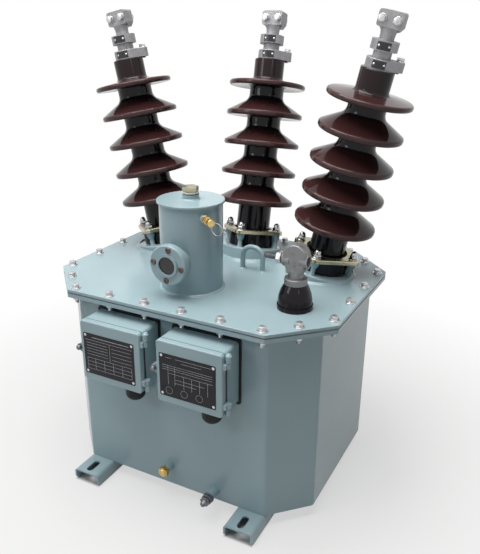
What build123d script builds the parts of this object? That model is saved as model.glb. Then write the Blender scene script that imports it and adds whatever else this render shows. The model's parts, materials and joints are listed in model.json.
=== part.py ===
from build123d import *
import math
import os

# Combined instrument transformer: an oil-filled welded tank on two channel feet, with three
# leaning porcelain bushings, a small neutral bushing, an oil conservator and two hinged
# terminal boxes. Millimetres, +Z up, front towards -Y, origin on the floor under the tank.

# Channel feet, run front to back under the tank
foot_inset = 103.5
foot_overhang = 58.5
foot_width = 63.0
foot_height = 28.0
foot_wall = 4.0
foot_bend_radius = 8.0
foot_end_radius = 10.0
slot_inset = 25.0
slot_length = 36.0
slot_width = 15.0

# Tank of bent plate, octagonal in plan
tank_width = 579.0
tank_depth = 451.0
tank_corner_leg = 76.0
tank_bend_radius = 12.0
tank_wall = 4.0
tank_height = 404.0
bottom_thickness = 6.0
drain_x = -4.0
drain_height = 46.0
drain_boss_radius = 10.0
drain_boss_length = 18.0
earth_x = 104.0
earth_height = 23.0
earth_boss_radius = 10.5
earth_boss_length = 26.0

# Bolted rim: tank flange, gasket and lid
rim_side_width = 29.5
rim_front_width = 26.0
rim_corner_width = 22.8
rim_bend_radius = 6.0
flange_thickness = 8.0
gasket_thickness = 3.0
gasket_inset = 1.0
lid_thickness = 6.0
lid_edge_radius = 1.2

# Brown porcelain bushings: sheds along an axis that leans outward from the lid
outer_bushing_inset = 94.7
outer_bushing_back_inset = 145.2
outer_lean_angle = 12.2
middle_bushing_inset = 93.4
middle_lean_angle = 11.4
turret_radius = 70.0
turret_height = 17.0
turret_edge_radius = 4.0
turret_root_depth = 40.0
shed_count = 5
shed_radius = 84.9
shed_pitch = 64.65
shed_first_height = 118.7
shed_rim_thickness = 11.0
shed_rim_radius = 4.8
shed_slope_angle = 30.0
shed_top_slope_angle = 7.0
shed_under_height = 4.0
shed_root_radius = 18.0
crown_root_radius = 7.0
shed_under_radius = 7.0
core_radius = 38.0
neck_radius = 38.0
crown_radius = 33.0
porcelain_foot_radius = 53.0
porcelain_foot_height = 31.0
porcelain_edge_radius = 2.0
porcelain_shoulder_radius = 5.0
porcelain_height = 416.0

# Zinc-plated clamp plates and the studs that hold them down
stud_inset = 7.0
clamp_stud_count = 4
clamp_ear_radius = 14.0
clamp_thickness = 9.0
clamp_bore_gap = 6.0
clamp_edge_radius = 2.5
stud_radius = 5.0
stud_gap = 0.4
stud_boss_radius = 9.0
stud_boss_height = 15.0
stud_end_length = 16.0

# Cast terminals on top of the bushings
collar_radius = 27.0
collar_height = 19.0
collar_lug_length = 47.0
collar_lug_radius = 10.0
collar_lug_angle = 30.0
stem_radius = 17.5
stem_height = 14.0
ring_radius = 26.0
ring_height = 18.0
ring_edge_radius = 1.5
head_neck_radius = 14.0
head_neck_height = 16.0
head_flare_radius = 17.0
head_flare_height = 14.0
head_flare_share = 0.3
head_width = 47.0
head_height = 35.0
head_shoulder_height = 9.0
head_foot_width = 33.0
head_depth = 17.0
head_corner_radius = 5.0
cap_depth = 12.0
cap_height = 30.0
jaw_gap = 0.3
conductor_radius = 6.0

# Oil conservator with its sight glass, filler and vent
conservator_x = -10.0
conservator_inset = 113.5
conservator_radius = 62.8
conservator_wall = 4.0
conservator_height = 177.0
cover_disc_radius = 67.2
cover_disc_thickness = 4.5
cover_disc_edge_radius = 1.5
filler_neck_radius = 16.5
filler_neck_height = 10.0
filler_hex_width = 28.0
filler_hex_height = 12.0
filler_spigot_radius = 11.5
filler_spigot_height = 3.5
filler_edge_width = 2.0
sight_height = 71.0
sight_length = 90.0
sight_flange_radius = 40.0
sight_flange_thickness = 15.0
sight_flange_edge_radius = 3.0
sight_neck_radius = 31.0
sight_lip_radius = 23.0
sight_lip_height = 3.0
sight_window_radius = 18.0
sight_glass_thickness = 6.0
sight_glass_depth = 3.0
sight_ledge_width = 3.0
vent_height = 158.0
vent_angle = -37.0
vent_boss_radius = 8.0
vent_boss_length = 11.2
vent_hex_width = 15.0
vent_hex_length = 9.0
vent_barrel_radius = 5.5
vent_barrel_length = 13.0
vent_knob_radius = 7.5
vent_knob_length = 5.0

# Neutral bushing and its cable clamp
neutral_inset = 71.0
neutral_front_inset = 109.5
bell_radius = 34.4
bell_rim_height = 8.0
bell_rim_step_width = 2.0
bell_top_radius = 21.4
bell_height = 49.0
bell_bulge_share = 0.8
bell_mid_share = 0.55
neutral_collar_radius = 22.0
neutral_collar_height = 12.0
neutral_collar_edge_radius = 2.0
neutral_neck_radius = 14.5
neutral_neck_height = 10.0
neutral_head_width = 43.0
neutral_head_height = 56.0
neutral_head_depth = 27.0
neutral_eye_height = 24.0
neutral_head_edge_radius = 3.0
neutral_eye_radius = 14.5
neutral_eye_length = 0.8
neutral_bore_radius = 9.5
neutral_bore_depth = 24.0

# Lifting loops of bent rod
lug_x = 58.0
lug_y = 27.0
lug_rod_radius = 5.5
lug_width = 48.0
lug_height = 51.0
lug_bend_radius = 22.0

# Hinged terminal boxes on the front face
box_spacing = 177.0
box_drop_height = 20.0
box_width = 140.0
box_height = 128.0
box_corner_radius = 7.0
box_wall = 4.0
box_depth = 49.4
seat_thickness = 3.5
seat_overhang_width = 4.0
seat_corner_radius = 4.0
seal_gap = 1.6
cover_depth = 11.5
cover_wall = 3.5
cover_edge_radius = 2.5
hinge_offset = 6.0
hinge_radius = 5.5
hinge_pin_radius = 2.5
hinge_pin_gap = 0.05
hinge_inset = 4.0
hinge_body_height = 13.0
hinge_cover_height = 10.0
hinge_play_gap = 1.0
hinge_arm_length = 10.0
latch_length = 16.5
latch_root_height = 24.0
latch_tip_radius = 7.0
latch_depth = 6.0
latch_hole_radius = 3.5
plate_width = 120.0
plate_height = 89.0
plate_thickness = 1.0
plate_margin_left = 7.0
plate_margin_bottom = 15.0
gland_offset = 27.0
gland_radius = 20.0
gland_length = 40.0
gland_edge_radius = 15.0
board_width = 104.0
board_height = 62.0
board_thickness = 16.0
board_corner_radius = 3.0

# Drain plug and earthing bolt low on the front face
drain_hex_width = 20.0
drain_hex_length = 12.0
drain_tip_radius = 7.5
drain_tip_length = 3.0
earth_washer_radius = 12.0
earth_washer_thickness = 2.5
earth_hex_width = 19.0
earth_hex_length = 15.0
earth_thread_radius = 6.0
earth_thread_length = 24.0

# Levels and outlines that follow from the values above
tank_floor = foot_height + bottom_thickness
tank_top = foot_height + tank_height
gasket_top = tank_top + gasket_thickness
lid_top = gasket_top + lid_thickness
tank_front = -tank_depth / 2
foot_spacing = tank_width - 2 * foot_inset
foot_length = tank_depth + 2 * foot_overhang
slot_spacing = foot_length - 2 * slot_inset
outer_bushing_x = tank_width / 2 - outer_bushing_inset
outer_bushing_y = tank_depth / 2 - outer_bushing_back_inset
middle_bushing_y = tank_depth / 2 - middle_bushing_inset
conservator_y = tank_front + conservator_inset
neutral_x = tank_width / 2 - neutral_inset
neutral_y = tank_front + neutral_front_inset
mitre_share = 2 - math.sqrt(2)
lid_width = tank_width + 2 * rim_side_width
lid_depth = tank_depth + 2 * rim_front_width
rim_mitre = rim_side_width + rim_front_width - math.sqrt(2) * rim_corner_width
lid_corner_leg = tank_corner_leg + rim_mitre

porcelain_top = turret_height + porcelain_height
clamp_stud_radius = porcelain_foot_radius + stud_inset
shoulder_level = turret_height + porcelain_foot_height
clamp_top = shoulder_level + clamp_thickness
collar_top = porcelain_top + collar_height
ring_level = collar_top + stem_height
ring_top = ring_level + ring_height
head_level = ring_top + head_neck_height
head_top = head_level + head_height
jaw_level = head_top - cap_height

cover_back = seat_thickness + box_depth + seal_gap
cover_front = cover_back + cover_depth
seam_y = tank_front - cover_back + seal_gap / 2
box_centre_height = tank_height - flange_thickness - box_drop_height - box_height / 2
box_bottom = foot_height + box_centre_height - box_height / 2
box_top = foot_height + box_centre_height + box_height / 2
inner_width = box_width - 2 * box_wall
inner_height = box_height - 2 * box_wall
box_centres = {"left": -box_spacing / 2, "right": box_spacing / 2}

seats = {
    "left": Plane((-outer_bushing_x, outer_bushing_y, lid_top)).rotated((0, -outer_lean_angle, 0)),
    "middle": Plane((0, middle_bushing_y, lid_top)).rotated((-middle_lean_angle, 0, 0)),
    "right": Plane((outer_bushing_x, outer_bushing_y, lid_top)).rotated((0, outer_lean_angle, 0)),
}


def octagon(width, depth, leg, bend, level):
    """A rectangle with 45 degree corners and rounded bends, at a level."""
    with BuildSketch(Plane.XY.offset(level)) as outline:
        Rectangle(width, depth)
        chamfer(outline.vertices(), length=leg)
        fillet(outline.vertices(), radius=bend)
    return outline.sketch


def tank_outline(inset, level):
    """The tank's plan, drawn in by an inset."""
    width = tank_width - 2 * inset
    depth = tank_depth - 2 * inset
    return octagon(width, depth, tank_corner_leg - inset * mitre_share, tank_bend_radius - inset, level)


def rim_outline(inset, level):
    """The lid's plan, drawn in by an inset."""
    width = lid_width - 2 * inset
    depth = lid_depth - 2 * inset
    return octagon(width, depth, lid_corner_leg - inset * mitre_share, rim_bend_radius, level)


def through_axis(seat):
    """The plane that holds a bushing's axis, X across and Y along it."""
    return Plane(origin=seat.origin, x_dir=seat.x_dir, z_dir=-seat.y_dir)


def on_front(x, level, reach):
    """A plane on the tank's front that faces forward, moved out by a reach."""
    return Plane(origin=(x, tank_front - reach, level), x_dir=(1, 0, 0), z_dir=(0, -1, 0))


os.makedirs("parts", exist_ok=True)

# Tank: a floor plate, a shell of bent plate with two front bosses, and a welded flange
with BuildPart() as tank_bottom:
    extrude(tank_outline(0, foot_height), amount=bottom_thickness)
tank_bottom.part.label = "tank_bottom"
export_step(tank_bottom.part, "parts/tank_bottom.step")

drain_face = on_front(drain_x, foot_height + drain_height, 0)
earth_face = on_front(earth_x, foot_height + earth_height, 0)
with BuildPart() as tank_shell:
    extrude(tank_outline(0, tank_floor), amount=tank_top - tank_floor)
    extrude(tank_outline(tank_wall, tank_floor), amount=tank_top - tank_floor, mode=Mode.SUBTRACT)
    with BuildSketch(drain_face):
        Circle(drain_boss_radius)
    extrude(amount=drain_boss_length)
    with BuildSketch(earth_face):
        Circle(earth_boss_radius)
    extrude(amount=earth_boss_length)
tank_shell.part.label = "tank_shell"
export_step(tank_shell.part, "parts/tank_shell.step")

with BuildPart() as tank_flange:
    extrude(rim_outline(0, tank_top - flange_thickness), amount=flange_thickness)
    extrude(tank_outline(0, tank_top - flange_thickness), amount=flange_thickness, mode=Mode.SUBTRACT)
tank_flange.part.label = "tank_flange"
export_step(tank_flange.part, "parts/tank_flange.step")

with BuildPart() as lid_gasket:
    extrude(rim_outline(gasket_inset, tank_top), amount=gasket_thickness)
    extrude(tank_outline(tank_wall, tank_top), amount=gasket_thickness, mode=Mode.SUBTRACT)
lid_gasket.part.label = "lid_gasket"
export_step(lid_gasket.part, "parts/lid_gasket.step")

with BuildPart() as lid:
    extrude(rim_outline(0, gasket_top), amount=lid_thickness)
    fillet(lid.faces().sort_by(Axis.Z)[-1].edges(), radius=lid_edge_radius)
lid.part.label = "lid"
export_step(lid.part, "parts/lid.step")

# Feet: channels with the web up, slotted at both ends
for side, place in {"left": -foot_spacing / 2, "right": foot_spacing / 2}.items():
    with BuildPart() as foot:
        with BuildSketch(Plane.XZ) as section:
            with Locations((place, foot_height / 2)):
                Rectangle(foot_width, foot_height)
            fillet(section.vertices().group_by(Axis.Y)[-1], radius=foot_bend_radius)
        extrude(amount=foot_length / 2, both=True)
        with BuildSketch(Plane.XZ) as hollow:
            with Locations((place, (foot_height - foot_wall) / 2)):
                Rectangle(foot_width - 2 * foot_wall, foot_height - foot_wall)
            fillet(hollow.vertices().group_by(Axis.Y)[-1], radius=foot_bend_radius - foot_wall)
        extrude(amount=foot_length / 2, both=True, mode=Mode.SUBTRACT)
        toes = foot.edges().filter_by(Axis.X).group_by(Axis.Z)[0]
        fillet(toes.group_by(Axis.Y)[0] + toes.group_by(Axis.Y)[-1], radius=foot_end_radius)
        with BuildSketch(Plane.XY.offset(foot_height)):
            with Locations((place, -slot_spacing / 2), (place, slot_spacing / 2)):
                SlotOverall(slot_length, slot_width, rotation=90)
        extrude(amount=-foot_height / 2, mode=Mode.SUBTRACT)
    foot.part.label = f"foot_{side}"
    export_step(foot.part, f"parts/foot_{side}.step")

# Turrets: round wedges welded on the lid, cut square to each bushing's axis
with BuildPart() as turrets:
    for seat in seats.values():
        with BuildSketch(seat.offset(turret_height)):
            Circle(turret_radius)
        extrude(amount=-turret_height - turret_root_depth)
    split(bisect_by=Plane.XY.offset(lid_top), keep=Keep.TOP)
    for seat in seats.values():
        crown = turrets.faces().filter_by(seat).sort_by(Axis(seat.origin, seat.z_dir))[-1]
        fillet(crown.edges(), radius=turret_edge_radius)
turrets.part.label = "bushing_turrets"
export_step(turrets.part, "parts/bushing_turrets.step")

# Porcelain bushings, turned about their leaning axes
outline_points = [
    (0, turret_height),
    (porcelain_foot_radius, turret_height),
    (porcelain_foot_radius, shoulder_level),
    (neck_radius, shoulder_level),
]
outline_rounds = [porcelain_edge_radius, porcelain_edge_radius, porcelain_shoulder_radius]
for index in range(shed_count):
    is_top = index == shed_count - 1
    rim_low = shed_first_height + index * shed_pitch - shed_rim_thickness / 2
    rim_high = rim_low + shed_rim_thickness
    below = neck_radius if index == 0 else core_radius
    above = crown_radius if is_top else core_radius
    slope = shed_top_slope_angle if is_top else shed_slope_angle
    root = crown_root_radius if is_top else shed_root_radius
    rise = (shed_radius - above) * math.tan(math.radians(slope))
    outline_points += [
        (below, rim_low + shed_under_height),
        (shed_radius, rim_low),
        (shed_radius, rim_high),
        (above, rim_high + rise),
    ]
    outline_rounds += [shed_under_radius, shed_rim_radius, shed_rim_radius, root]
outline_points += [(crown_radius, porcelain_top), (0, porcelain_top)]
outline_rounds += [porcelain_edge_radius]

for side, seat in seats.items():
    with BuildPart() as bushing:
        with BuildSketch(through_axis(seat)):
            with BuildLine():
                FilletPolyline(*outline_points, radius=outline_rounds)
                Line(outline_points[-1], outline_points[0])
            make_face()
        revolve(axis=Axis(seat.origin, seat.z_dir))
    bushing.part.label = f"bushing_{side}"
    export_step(bushing.part, f"parts/bushing_{side}.step")

# Clamp plates: four ears in a rounded square round the porcelain's shoulder
for side, seat in seats.items():
    with BuildPart() as clamp:
        with BuildSketch(seat.offset(shoulder_level)):
            with PolarLocations(clamp_stud_radius, clamp_stud_count):
                Circle(clamp_ear_radius)
            make_hull()
            Circle(neck_radius + clamp_bore_gap, mode=Mode.SUBTRACT)
            with PolarLocations(clamp_stud_radius, clamp_stud_count):
                Circle(stud_radius + stud_gap, mode=Mode.SUBTRACT)
        extrude(amount=clamp_thickness)
        crown = clamp.faces().filter_by(seat).sort_by(Axis(seat.origin, seat.z_dir))[-1]
        fillet(crown.outer_wire().edges(), radius=clamp_edge_radius)
    clamp.part.label = f"bushing_clamp_{side}"
    export_step(clamp.part, f"parts/bushing_clamp_{side}.step")

with BuildPart() as clamp_studs:
    for seat in seats.values():
        with BuildSketch(seat.offset(turret_height)):
            with PolarLocations(clamp_stud_radius, clamp_stud_count):
                Circle(stud_radius)
        extrude(amount=clamp_top + stud_end_length - turret_height)
        with BuildSketch(seat.offset(shoulder_level)):
            with PolarLocations(clamp_stud_radius, clamp_stud_count):
                Circle(stud_boss_radius)
            Circle(porcelain_foot_radius, mode=Mode.SUBTRACT)
        extrude(amount=-stud_boss_height)
clamp_studs.part.label = "clamp_studs"
export_step(clamp_studs.part, "parts/clamp_studs.step")

# Terminals: a collar with a bolted lug, a stem with a ring and a back jaw, and a front jaw
flare_level = jaw_level - jaw_gap - head_flare_height
flare_bulge_radius = head_neck_radius + (head_flare_radius - head_neck_radius) * head_flare_share
for side, seat in seats.items():
    axis = Axis(seat.origin, seat.z_dir)
    upright = through_axis(seat)

    with BuildPart() as collar:
        with BuildSketch(seat.offset(porcelain_top)):
            Circle(collar_radius)
            with Locations(Location((0, 0, 0), collar_lug_angle)):
                with Locations((collar_lug_length - collar_lug_radius, 0)):
                    Circle(collar_lug_radius)
            make_hull()
        extrude(amount=collar_height)
        crown = collar.faces().filter_by(seat).sort_by(axis)[-1]
        fillet(crown.edges(), radius=ring_edge_radius)
    collar.part.label = f"terminal_collar_{side}"
    export_step(collar.part, f"parts/terminal_collar_{side}.step")

    with BuildPart() as stem:
        with BuildSketch(upright):
            with BuildLine():
                Polyline(
                    (head_flare_radius, jaw_level - jaw_gap),
                    (0, jaw_level - jaw_gap),
                    (0, collar_top),
                    (stem_radius, collar_top),
                    (stem_radius, ring_level),
                    (ring_radius, ring_level),
                    (ring_radius, ring_top),
                    (head_neck_radius, ring_top),
                    (head_neck_radius, flare_level),
                )
                ThreePointArc(
                    (head_neck_radius, flare_level),
                    (flare_bulge_radius, flare_level + head_flare_height / 2),
                    (head_flare_radius, jaw_level - jaw_gap),
                )
            make_face()
        revolve(axis=axis)
        with BuildSketch(upright) as jaw:
            with BuildLine():
                Polyline(
                    (-head_foot_width / 2, head_level),
                    (head_foot_width / 2, head_level),
                    (head_width / 2, head_level + head_shoulder_height),
                    (head_width / 2, head_top),
                    (-head_width / 2, head_top),
                    (-head_width / 2, head_level + head_shoulder_height),
                    close=True,
                )
            make_face()
            fillet(jaw.vertices().group_by(Axis.Y)[-1], radius=head_corner_radius)
        extrude(amount=-head_depth)
        with BuildSketch(upright) as shelf:
            with Locations((0, jaw_level - jaw_gap)):
                Rectangle(head_width, head_height, align=(Align.CENTER, Align.MIN))
        extrude(amount=head_depth, mode=Mode.SUBTRACT)
        with BuildSketch(seat.offset(jaw_level)):
            Circle(conductor_radius)
        extrude(amount=head_height, mode=Mode.SUBTRACT)
    stem.part.label = f"terminal_stem_{side}"
    export_step(stem.part, f"parts/terminal_stem_{side}.step")

    with BuildPart() as front_jaw:
        with BuildSketch(upright.offset(jaw_gap)):
            with Locations((0, jaw_level + cap_height / 2)):
                RectangleRounded(head_width, cap_height, head_corner_radius)
        extrude(amount=cap_depth)
        with BuildSketch(seat.offset(head_level)):
            Circle(conductor_radius)
        extrude(amount=2 * head_height, mode=Mode.SUBTRACT)
    front_jaw.part.label = f"terminal_jaw_{side}"
    export_step(front_jaw.part, f"parts/terminal_jaw_{side}.step")

# Conservator: a pipe welded on the lid, pierced for the sight glass, with a vent boss
conservator_base = Plane((conservator_x, conservator_y, lid_top))
sight_face = Plane(
    origin=(conservator_x, conservator_y, lid_top + sight_height), x_dir=(1, 0, 0), z_dir=(0, -1, 0)
)
vent_way = (math.cos(math.radians(vent_angle)), math.sin(math.radians(vent_angle)), 0)
vent_face = Plane(origin=(conservator_x, conservator_y, lid_top + vent_height), z_dir=vent_way)
vent_root = conservator_radius - conservator_wall
vent_start = conservator_radius + vent_boss_length

with BuildPart() as conservator:
    with BuildSketch(conservator_base):
        Circle(conservator_radius)
        Circle(conservator_radius - conservator_wall, mode=Mode.SUBTRACT)
    extrude(amount=conservator_height)
    with BuildSketch(sight_face):
        Circle(sight_window_radius - sight_ledge_width)
    extrude(amount=sight_length, mode=Mode.SUBTRACT)
    with BuildSketch(vent_face.offset(vent_root)):
        Circle(vent_boss_radius)
    extrude(amount=vent_start - vent_root)
conservator.part.label = "conservator"
export_step(conservator.part, "parts/conservator.step")

cap_base = conservator_base.offset(conservator_height)
with BuildPart() as conservator_cap:
    with BuildSketch(cap_base):
        Circle(cover_disc_radius)
    extrude(amount=cover_disc_thickness)
    fillet(conservator_cap.faces().sort_by(Axis.Z)[-1].edges(), radius=cover_disc_edge_radius)
    with BuildSketch(cap_base.offset(cover_disc_thickness)):
        Circle(filler_neck_radius)
    extrude(amount=filler_neck_height)
conservator_cap.part.label = "conservator_cap"
export_step(conservator_cap.part, "parts/conservator_cap.step")

plug_base = cap_base.offset(cover_disc_thickness + filler_neck_height)
with BuildPart() as filler_plug:
    with BuildSketch(plug_base):
        Circle(filler_spigot_radius)
    extrude(amount=filler_spigot_height)
    with BuildSketch(plug_base.offset(filler_spigot_height)):
        RegularPolygon(filler_hex_width / 2, 6, major_radius=False)
    extrude(amount=filler_hex_height)
    chamfer(filler_plug.faces().sort_by(Axis.Z)[-1].edges(), length=filler_edge_width)
filler_plug.part.label = "filler_plug"
export_step(filler_plug.part, "parts/filler_plug.step")

with BuildPart() as sight_flange:
    with BuildSketch(sight_face):
        Circle(sight_neck_radius)
    extrude(amount=sight_length - sight_flange_thickness)
    with BuildSketch(sight_face.offset(sight_length - sight_flange_thickness)):
        Circle(sight_flange_radius)
    extrude(amount=sight_flange_thickness)
    fillet(sight_flange.faces().sort_by(Axis.Y)[0].edges(), radius=sight_flange_edge_radius)
    with BuildSketch(sight_face.offset(sight_length)):
        Circle(sight_lip_radius)
    extrude(amount=sight_lip_height)
    with BuildSketch(conservator_base):
        Circle(conservator_radius)
    extrude(amount=conservator_height, mode=Mode.SUBTRACT)
    with BuildSketch(sight_face):
        Circle(sight_window_radius - sight_ledge_width)
    extrude(amount=sight_length + sight_lip_height, mode=Mode.SUBTRACT)
    with BuildSketch(sight_face.offset(sight_length + sight_lip_height)):
        Circle(sight_window_radius)
    extrude(amount=-sight_glass_depth - sight_glass_thickness, mode=Mode.SUBTRACT)
sight_flange.part.label = "sight_flange"
export_step(sight_flange.part, "parts/sight_flange.step")

with BuildPart() as sight_glass:
    with BuildSketch(sight_face.offset(sight_length + sight_lip_height - sight_glass_depth)):
        Circle(sight_window_radius)
    extrude(amount=-sight_glass_thickness)
sight_glass.part.label = "sight_glass"
export_step(sight_glass.part, "parts/sight_glass.step")

with BuildPart() as vent_valve:
    with BuildSketch(vent_face.offset(vent_start)):
        RegularPolygon(vent_hex_width / 2, 6, major_radius=False)
    extrude(amount=vent_hex_length)
    with BuildSketch(vent_face.offset(vent_start + vent_hex_length)):
        Circle(vent_barrel_radius)
    extrude(amount=vent_barrel_length)
    with BuildSketch(vent_face.offset(vent_start + vent_hex_length + vent_barrel_length)):
        Circle(vent_knob_radius)
    extrude(amount=vent_knob_length)
vent_valve.part.label = "vent_valve"
export_step(vent_valve.part, "parts/vent_valve.step")

# Neutral bushing: a porcelain bell, and a cast cable clamp on top
neutral_seat = Plane((neutral_x, neutral_y, lid_top))
neutral_side = Plane(origin=neutral_seat.origin, x_dir=(1, 0, 0), z_dir=(0, -1, 0))
bell_step_radius = bell_radius - bell_rim_step_width
bell_rise = bell_height - bell_rim_height
with BuildPart() as neutral_bushing:
    with BuildSketch(neutral_side):
        with BuildLine():
            Polyline(
                (bell_top_radius, bell_height),
                (0, bell_height),
                (0, 0),
                (bell_radius, 0),
                (bell_radius, bell_rim_height),
                (bell_step_radius, bell_rim_height),
            )
            ThreePointArc(
                (bell_step_radius, bell_rim_height),
                (
                    bell_top_radius + (bell_step_radius - bell_top_radius) * bell_bulge_share,
                    bell_rim_height + bell_rise * bell_mid_share,
                ),
                (bell_top_radius, bell_height),
            )
        make_face()
    revolve(axis=Axis(neutral_seat.origin, neutral_seat.z_dir))
neutral_bushing.part.label = "neutral_bushing"
export_step(neutral_bushing.part, "parts/neutral_bushing.step")

neutral_neck_level = bell_height + neutral_collar_height
neutral_head_level = neutral_neck_level + neutral_neck_height
neutral_head_top = neutral_head_level + neutral_head_height
neutral_eye_level = neutral_head_level + neutral_eye_height
neutral_crown_height = neutral_head_height - neutral_eye_height
neutral_swell_radius = ((neutral_head_width / 2) ** 2 + neutral_crown_height**2) / (2 * neutral_crown_height)
with BuildPart() as neutral_clamp:
    with BuildSketch(neutral_side):
        with BuildLine():
            Polyline(
                (-neutral_head_width / 2, neutral_eye_level),
                (-neutral_neck_radius, neutral_head_level),
                (neutral_neck_radius, neutral_head_level),
                (neutral_head_width / 2, neutral_eye_level),
            )
            ThreePointArc(
                (neutral_head_width / 2, neutral_eye_level),
                (0, neutral_head_top),
                (-neutral_head_width / 2, neutral_eye_level),
            )
        make_face()
    extrude(amount=neutral_head_depth / 2, both=True)
    cheeks = neutral_clamp.faces().filter_by(Plane.XZ)
    fillet(cheeks.edges(), radius=neutral_head_edge_radius)
    with BuildSketch(neutral_seat.offset(bell_height)):
        Circle(neutral_collar_radius)
    extrude(amount=neutral_collar_height)
    ledge = neutral_clamp.edges().filter_by(GeomType.CIRCLE).filter_by(Plane.XY).sort_by(Axis.Z)[-1]
    fillet(ledge, radius=neutral_collar_edge_radius)
    with BuildSketch(neutral_seat.offset(bell_height)):
        Circle(neutral_neck_radius)
    extrude(amount=neutral_eye_level - bell_height)
    eye = Plane(
        origin=(neutral_x + neutral_swell_radius, neutral_y, lid_top + neutral_eye_level), z_dir=(1, 0, 0)
    )
    with BuildSketch(eye.offset(-neutral_eye_radius)):
        Circle(neutral_eye_radius)
    extrude(amount=neutral_eye_radius + neutral_eye_length)
    with BuildSketch(eye.offset(neutral_eye_length)):
        Circle(neutral_bore_radius)
    extrude(amount=-neutral_bore_depth, mode=Mode.SUBTRACT)
neutral_clamp.part.label = "neutral_clamp"
export_step(neutral_clamp.part, "parts/neutral_clamp.step")

# Lifting loops
for side, place in {"left": -lug_x, "right": lug_x}.items():
    with BuildPart() as loop:
        with BuildLine(Plane(origin=(place, lug_y, lid_top), x_dir=(1, 0, 0), z_dir=(0, -1, 0))) as rod:
            FilletPolyline(
                (-lug_width / 2, 0),
                (-lug_width / 2, lug_height),
                (lug_width / 2, lug_height),
                (lug_width / 2, 0),
                radius=lug_bend_radius,
            )
        with BuildSketch(Plane(origin=rod.line @ 0, z_dir=rod.line % 0)):
            Circle(lug_rod_radius)
        sweep(path=rod.line)
    loop.part.label = f"lifting_loop_{side}"
    export_step(loop.part, f"parts/lifting_loop_{side}.step")


def knuckle(x, level, arm_start, arm_end):
    """A hinge knuckle round the pin, with an arm back to the piece that carries it."""
    with BuildSketch(Plane((x, seam_y, level))) as outline:
        Circle(hinge_radius)
        with Locations((-(hinge_offset + box_wall) / 2, (arm_start + arm_end) / 2)):
            Rectangle(hinge_offset + box_wall, abs(arm_end - arm_start))
        Circle(hinge_pin_radius + hinge_pin_gap, mode=Mode.SUBTRACT)
    return outline.sketch


def latch_ear(face):
    """An ear on a box's left side that tapers to a rounded tip, with a hole for the cover's screw."""
    with BuildSketch(face) as outline:
        with Locations(((box_wall - box_width) / 2, 0)):
            Rectangle(box_wall, latch_root_height)
        with Locations((latch_tip_radius - latch_length - box_width / 2, 0)):
            Circle(latch_tip_radius)
        make_hull()
        with Locations((latch_tip_radius - latch_length - box_width / 2, 0)):
            Circle(latch_hole_radius, mode=Mode.SUBTRACT)
    return outline.sketch


# Hinge levels: each cover knuckle hangs between the body's knuckles, top and bottom
body_knuckles = [box_bottom + hinge_inset, box_top - hinge_inset - hinge_body_height]
cover_knuckles = [
    body_knuckles[0] + hinge_body_height + hinge_play_gap,
    body_knuckles[1] - hinge_play_gap - hinge_cover_height,
]
pin_length = hinge_body_height + hinge_play_gap + hinge_cover_height

# Terminal boxes: hollow cast bodies with knuckles on the right and a latch ear on the left
for side, centre in box_centres.items():
    face = on_front(centre, foot_height + box_centre_height, 0)
    hinge_x = centre + box_width / 2 + hinge_offset

    with BuildPart() as body:
        with BuildSketch(face.offset(seat_thickness)):
            RectangleRounded(box_width, box_height, box_corner_radius)
        extrude(amount=box_depth)
        for level in body_knuckles:
            extrude(knuckle(hinge_x, level, seal_gap / 2, hinge_arm_length), amount=hinge_body_height)
        extrude(latch_ear(face.offset(cover_back - seal_gap)), amount=-latch_depth)
        with BuildSketch(face.offset(seat_thickness + box_wall)):
            RectangleRounded(inner_width, inner_height, box_corner_radius - box_wall)
        extrude(amount=box_depth, mode=Mode.SUBTRACT)
    body.part.label = f"box_body_{side}"
    export_step(body.part, f"parts/box_body_{side}.step")

    with BuildPart() as cover:
        with BuildSketch(face.offset(cover_back)):
            RectangleRounded(box_width, box_height, box_corner_radius)
        extrude(amount=cover_depth)
        fillet(cover.faces().sort_by(Axis.Y)[0].edges(), radius=cover_edge_radius)
        for level in cover_knuckles:
            extrude(knuckle(hinge_x, level, -seal_gap / 2, -hinge_arm_length), amount=hinge_cover_height)
        extrude(latch_ear(face.offset(cover_back)), amount=latch_depth)
        with BuildSketch(face.offset(cover_back)):
            RectangleRounded(inner_width, inner_height, box_corner_radius - box_wall)
        extrude(amount=cover_depth - cover_wall, mode=Mode.SUBTRACT)
    cover.part.label = f"box_cover_{side}"
    export_step(cover.part, f"parts/box_cover_{side}.step")

    plate_x = (plate_width - box_width) / 2 + plate_margin_left
    plate_y = (plate_height - box_height) / 2 + plate_margin_bottom
    with BuildPart() as plate:
        with BuildSketch(face.offset(cover_front)):
            with Locations((plate_x, plate_y)):
                Rectangle(plate_width, plate_height)
        extrude(amount=plate_thickness)
    plate.part.label = f"nameplate_{side}"
    export_step(plate.part, f"parts/nameplate_{side}.step")

# Rubber seats between the boxes and the tank, rubber cable glands under the boxes,
# terminal boards inside them and hinge pins, two of each kind in one piece list
with BuildPart() as box_seats:
    for centre in box_centres.values():
        with BuildSketch(on_front(centre, foot_height + box_centre_height, 0)):
            width = box_width + 2 * seat_overhang_width
            height = box_height + 2 * seat_overhang_width
            RectangleRounded(width, height, seat_corner_radius)
        extrude(amount=seat_thickness)
box_seats.part.label = "box_seats"
export_step(box_seats.part, "parts/box_seats.step")

gland_y = tank_front - seat_thickness - box_depth / 2
with BuildPart() as cable_glands:
    for centre in box_centres.values():
        with BuildSketch(Plane((centre + gland_offset, gland_y, box_bottom))):
            Circle(gland_radius)
        extrude(amount=-gland_length)
    fillet(cable_glands.faces().group_by(Axis.Z)[0].edges(), radius=gland_edge_radius)
cable_glands.part.label = "cable_glands"
export_step(cable_glands.part, "parts/cable_glands.step")

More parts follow.
